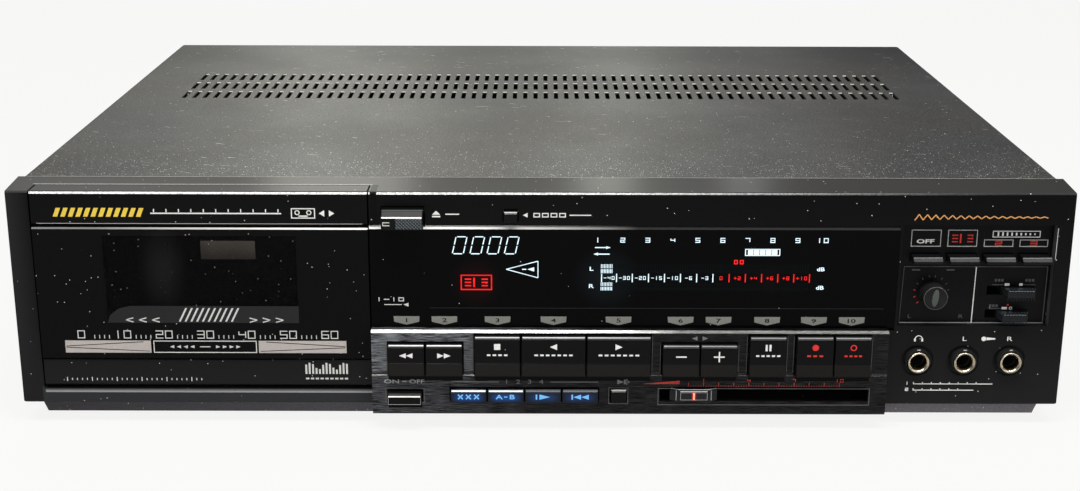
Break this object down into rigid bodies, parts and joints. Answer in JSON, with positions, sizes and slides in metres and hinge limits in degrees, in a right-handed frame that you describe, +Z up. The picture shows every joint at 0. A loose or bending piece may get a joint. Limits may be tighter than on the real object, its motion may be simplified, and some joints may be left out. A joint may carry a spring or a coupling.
{
  "type": "cassette deck",
  "caption": "Full-width front-loading cassette deck with a tilting cassette door, a wide display window, flat transport keys, a record-level slider and headphone and microphone sockets.",
  "frame": {"origin": "on the ground under the middle of the deck's outline", "axes": "+X to the listener's right along the width, +Y from the front to the rear, +Z up"},
  "size_m": [0.42, 0.3194, 0.098],
  "materials": {
    "cover_paint": "satin black stoved paint on folded steel, lightly dusty",
    "base_steel": "satin grey paint on folded steel",
    "bezel_moulding": "satin black moulded bezel with a polished front edge",
    "display_acrylic": "polished black acrylic with lit segments behind it",
    "door_acrylic": "polished smoked acrylic with fine white print",
    "brushed_fascia": "black anodised aluminium with a fine horizontal hairline",
    "key_moulding": "semi-gloss black moulded keys with a bright top edge",
    "backlit_caps": "black moulded button caps with legends lit blue from behind",
    "slider_moulding": "smoked glossy moulding",
    "jack_nickel": "champagne nickel plating on turned brass",
    "black_moulding": "matt black moulding",
    "bush_rubber": "matt black rubber",
    "zinc_steel": "bright zinc-plated steel",
    "pulley_brass": "turned brass",
    "spindle_moulding": "ivory acetal moulding",
    "board_laminate": "green-brown printed circuit laminate",
    "core_steel": "varnished transformer laminations"
  },
  "bodies": {
    "root": {"base_pan": "base_steel", "top_cover": "cover_paint", "rear_panel": "cover_paint", "phono_sockets": "black_moulding", "cord_bush": "bush_rubber", "foot_front_left": "bush_rubber", "foot_front_right": "bush_rubber", "foot_rear_left": "bush_rubber", "foot_rear_right": "bush_rubber", "front_bezel": "bezel_moulding", "display_window": "display_acrylic", "control_fascia": "brushed_fascia", "selector_panel": "bezel_moulding", "phones_jack": "jack_nickel", "microphone_jack_left": "jack_nickel", "microphone_jack_right": "jack_nickel", "mechanism_plate": "zinc_steel", "flywheel_bracket": "zinc_steel", "capstan_motor": "zinc_steel", "drive_belt": "bush_rubber", "front_board": "board_laminate", "main_board": "board_laminate", "power_transformer": "core_steel"},
    "door": {"door_frame": "bezel_moulding", "door_window": "door_acrylic", "cassette_holder": "black_moulding"},
    "motor_pulley": {"motor_pulley": "pulley_brass"},
    "flywheel_left": {"flywheel_left": "zinc_steel"},
    "flywheel_right": {"flywheel_right": "zinc_steel"},
    "reel_spindle_left": {"reel_spindle_left": "spindle_moulding"},
    "reel_spindle_right": {"reel_spindle_right": "spindle_moulding"},
    "head_carriage": {"head_carriage": "zinc_steel"},
    "pinch_roller_left": {"pinch_roller_left": "bush_rubber"},
    "pinch_roller_right": {"pinch_roller_right": "bush_rubber"},
    "rewind_key": {"rewind_key": "key_moulding"},
    "fast_forward_key": {"fast_forward_key": "key_moulding"},
    "stop_key": {"stop_key": "key_moulding"},
    "reverse_play_key": {"reverse_play_key": "key_moulding"},
    "forward_play_key": {"forward_play_key": "key_moulding"},
    "search_back_key": {"search_back_key": "key_moulding"},
    "search_forward_key": {"search_forward_key": "key_moulding"},
    "pause_key": {"pause_key": "key_moulding"},
    "record_key": {"record_key": "key_moulding"},
    "record_mute_key": {"record_mute_key": "key_moulding"},
    "eject_key": {"eject_key": "key_moulding"},
    "counter_reset_button": {"counter_reset_button": "key_moulding"},
    "power_button": {"power_button": "key_moulding"},
    "program_clear_button": {"program_clear_button": "backlit_caps"},
    "program_side_button": {"program_side_button": "backlit_caps"},
    "program_start_button": {"program_start_button": "backlit_caps"},
    "program_reset_button": {"program_reset_button": "backlit_caps"},
    "skip_button": {"skip_button": "key_moulding"},
    "record_level_slider": {"record_level_slider": "slider_moulding"},
    "reduction_off_key": {"reduction_off_key": "key_moulding"},
    "reduction_a_key": {"reduction_a_key": "key_moulding"},
    "reduction_b_key": {"reduction_b_key": "key_moulding"},
    "reduction_c_key": {"reduction_c_key": "key_moulding"},
    "balance_knob": {"balance_knob": "key_moulding"},
    "upper_slide_switch": {"upper_slide_switch": "slider_moulding"},
    "lower_slide_switch": {"lower_slide_switch": "slider_moulding"}
  },
  "joints": [
    {"name": "door_tilt", "type": "hinge", "parent": "root", "child": "door", "pos_m": [-0.13348, -0.14675, 0.02], "axis": [1, 0, 0], "range_deg": [0, 24]},
    {"name": "left_flywheel_spin", "type": "hinge", "parent": "root", "child": "flywheel_left", "pos_m": [-0.16287, -0.11425, 0.033], "axis": [0, 1, 0], "continuous": true},
    {"name": "right_flywheel_spin", "type": "hinge", "parent": "root", "child": "flywheel_right", "pos_m": [-0.10408, -0.11425, 0.033], "axis": [0, 1, 0], "continuous": true},
    {"name": "motor_spin", "type": "hinge", "parent": "root", "child": "motor_pulley", "pos_m": [-0.08148, -0.11425, 0.075], "axis": [0, 1, 0], "continuous": true},
    {"name": "left_reel_spin", "type": "hinge", "parent": "root", "child": "reel_spindle_left", "pos_m": [-0.15473, -0.12525, 0.062], "axis": [0, 1, 0], "continuous": true},
    {"name": "right_reel_spin", "type": "hinge", "parent": "root", "child": "reel_spindle_right", "pos_m": [-0.11223, -0.12525, 0.062], "axis": [0, 1, 0], "continuous": true},
    {"name": "head_lift", "type": "slide", "parent": "root", "child": "head_carriage", "axis": [0, 0, 1], "range_m": [0, 0.005], "stiffness_N_per_m": 100},
    {"name": "left_roller_spin", "type": "hinge", "parent": "head_carriage", "child": "pinch_roller_left", "pos_m": [-0.16287, -0.13575, 0.02135], "axis": [0, 1, 0], "continuous": true},
    {"name": "right_roller_spin", "type": "hinge", "parent": "head_carriage", "child": "pinch_roller_right", "pos_m": [-0.10408, -0.13575, 0.02135], "axis": [0, 1, 0], "continuous": true},
    {"name": "rewind_press", "type": "slide", "parent": "root", "child": "rewind_key", "axis": [0, 1, 0], "range_m": [0, 0.0015], "stiffness_N_per_m": 400},
    {"name": "fast_forward_press", "type": "slide", "parent": "root", "child": "fast_forward_key", "axis": [0, 1, 0], "range_m": [0, 0.0015], "stiffness_N_per_m": 400},
    {"name": "stop_press", "type": "slide", "parent": "root", "child": "stop_key", "axis": [0, 1, 0], "range_m": [0, 0.0015], "stiffness_N_per_m": 400},
    {"name": "reverse_play_press", "type": "slide", "parent": "root", "child": "reverse_play_key", "axis": [0, 1, 0], "range_m": [0, 0.0015], "stiffness_N_per_m": 400},
    {"name": "forward_play_press", "type": "slide", "parent": "root", "child": "forward_play_key", "axis": [0, 1, 0], "range_m": [0, 0.0015], "stiffness_N_per_m": 400},
    {"name": "search_back_press", "type": "slide", "parent": "root", "child": "search_back_key", "axis": [0, 1, 0], "range_m": [0, 0.0015], "stiffness_N_per_m": 400},
    {"name": "search_forward_press", "type": "slide", "parent": "root", "child": "search_forward_key", "axis": [0, 1, 0], "range_m": [0, 0.0015], "stiffness_N_per_m": 400},
    {"name": "pause_press", "type": "slide", "parent": "root", "child": "pause_key", "axis": [0, 1, 0], "range_m": [0, 0.0015], "stiffness_N_per_m": 400},
    {"name": "record_press", "type": "slide", "parent": "root", "child": "record_key", "axis": [0, 1, 0], "range_m": [0, 0.0015], "stiffness_N_per_m": 400},
    {"name": "record_mute_press", "type": "slide", "parent": "root", "child": "record_mute_key", "axis": [0, 1, 0], "range_m": [0, 0.0015], "stiffness_N_per_m": 400},
    {"name": "eject_press", "type": "slide", "parent": "root", "child": "eject_key", "axis": [0, 1, 0], "range_m": [0, 0.003], "stiffness_N_per_m": 300},
    {"name": "counter_reset_press", "type": "slide", "parent": "root", "child": "counter_reset_button", "axis": [0, 1, 0], "range_m": [0, 0.002], "stiffness_N_per_m": 300},
    {"name": "power_press", "type": "slide", "parent": "root", "child": "power_button", "axis": [0, 1, 0], "range_m": [0, 0.003], "stiffness_N_per_m": 300},
    {"name": "program_clear_press", "type": "slide", "parent": "root", "child": "program_clear_button", "axis": [0, 1, 0], "range_m": [0, 0.0015], "stiffness_N_per_m": 300},
    {"name": "program_side_press", "type": "slide", "parent": "root", "child": "program_side_button", "axis": [0, 1, 0], "range_m": [0, 0.0015], "stiffness_N_per_m": 300},
    {"name": "program_start_press", "type": "slide", "parent": "root", "child": "program_start_button", "axis": [0, 1, 0], "range_m": [0, 0.0015], "stiffness_N_per_m": 300},
    {"name": "program_reset_press", "type": "slide", "parent": "root", "child": "program_reset_button", "axis": [0, 1, 0], "range_m": [0, 0.0015], "stiffness_N_per_m": 300},
    {"name": "skip_press", "type": "slide", "parent": "root", "child": "skip_button", "axis": [0, 1, 0], "range_m": [0, 0.0015], "stiffness_N_per_m": 300},
    {"name": "record_level_slide", "type": "slide", "parent": "root", "child": "record_level_slider", "axis": [1, 0, 0], "range_m": [-0.0036, 0.0598]},
    {"name": "reduction_off_press", "type": "slide", "parent": "root", "child": "reduction_off_key", "axis": [0, 1, 0], "range_m": [0, 0.0025], "stiffness_N_per_m": 300},
    {"name": "reduction_a_press", "type": "slide", "parent": "root", "child": "reduction_a_key", "axis": [0, 1, 0], "range_m": [0, 0.0025], "stiffness_N_per_m": 300},
    {"name": "reduction_b_press", "type": "slide", "parent": "root", "child": "reduction_b_key", "axis": [0, 1, 0], "range_m": [0, 0.0025], "stiffness_N_per_m": 300},
    {"name": "reduction_c_press", "type": "slide", "parent": "root", "child": "reduction_c_key", "axis": [0, 1, 0], "range_m": [0, 0.0025], "stiffness_N_per_m": 300},
    {"name": "balance_turn", "type": "hinge", "parent": "root", "child": "balance_knob", "pos_m": [0.15548, -0.15425, 0.056], "axis": [0, 1, 0], "range_deg": [-140, 140]},
    {"name": "upper_switch_slide", "type": "slide", "parent": "root", "child": "upper_slide_switch", "axis": [1, 0, 0], "range_m": [-0.0056, 0]},
    {"name": "lower_switch_slide", "type": "slide", "parent": "root", "child": "lower_slide_switch", "axis": [1, 0, 0], "range_m": [-0.0041, 0]}
  ],
  "couplings": [
    {"joint": "right_flywheel_spin", "follows": "left_flywheel_spin", "ratio": -1},
    {"joint": "motor_spin", "follows": "left_flywheel_spin", "ratio": 4.4615}
  ]
}
